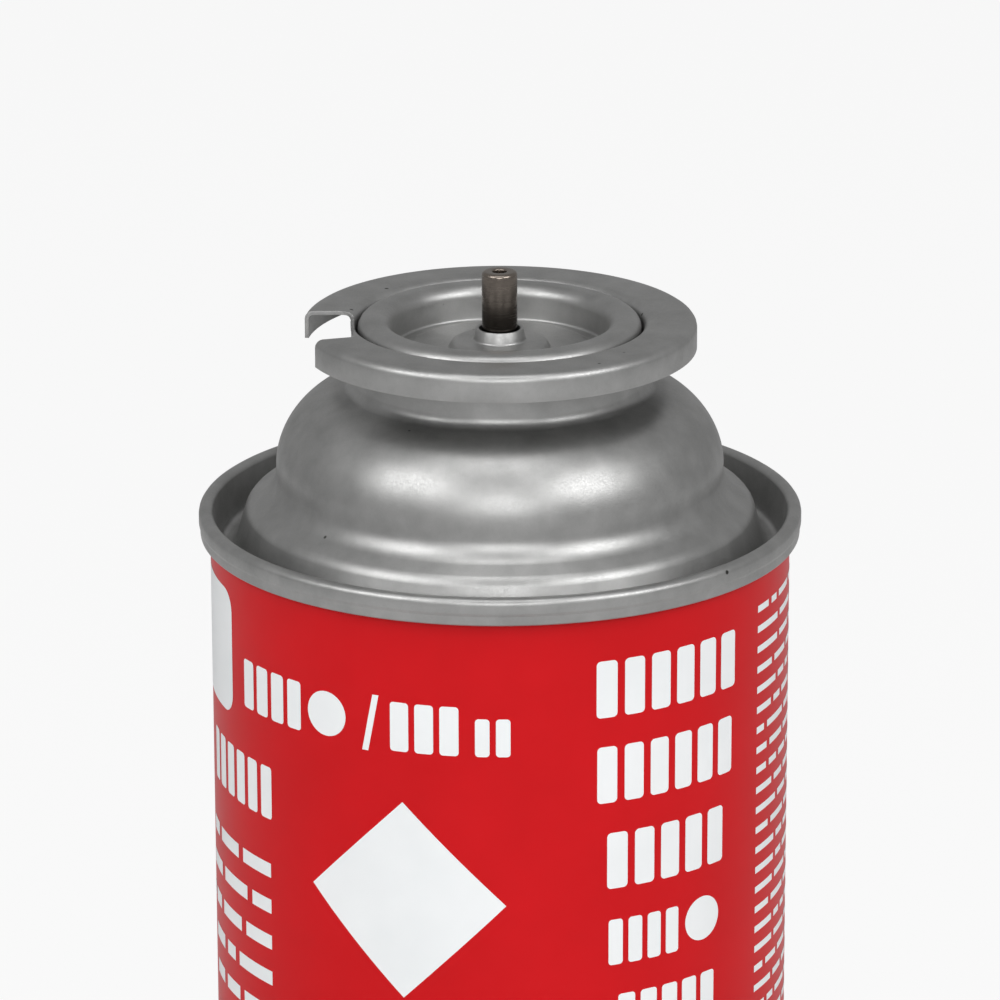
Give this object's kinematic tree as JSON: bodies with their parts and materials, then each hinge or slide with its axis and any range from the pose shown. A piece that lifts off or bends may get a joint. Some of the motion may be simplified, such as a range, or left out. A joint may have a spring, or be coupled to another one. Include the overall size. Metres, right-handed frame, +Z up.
{
  "type": "bayonet gas cartridge",
  "caption": "Tinplate gas cartridge with seamed ends, a domed top, a notched bayonet collar and a spring-loaded valve stem that presses down.",
  "frame": {"origin": "centre of the foot ring, on the surface that the can stands on", "axes": "+Z up along the axis of the can towards the valve stem, -Y towards the front of the print, the notch in the collar on the -X side"},
  "size_m": [0.0682, 0.0682, 0.1853],
  "materials": {
    "printed_tinplate": "glossy red lacquer on tinplate",
    "bare_tinplate": "satin tinplate with a fine mottle",
    "dark_nickel": "dark plated, fine drawn lines",
    "seal_rubber": "matt",
    "nylon": "moulded",
    "spring_steel": "drawn wire"
  },
  "bodies": {
    "cartridge": {"can": "printed_tinplate", "bayonet_collar": "bare_tinplate", "valve_cup": "bare_tinplate", "cup_gasket": "seal_rubber", "stem_gasket": "seal_rubber", "valve_housing": "nylon", "valve_spring": "spring_steel", "vapour_tube": "nylon"},
    "stem": {"valve_stem": "dark_nickel"}
  },
  "joints": [
    {"name": "stem_press", "type": "slide", "parent": "cartridge", "child": "stem", "axis": [0, 0, -1], "range_m": [0, 0.002], "stiffness_N_per_m": 1000, "springref_m": -0.006, "deforming": ["valve_spring"]}
  ]
}
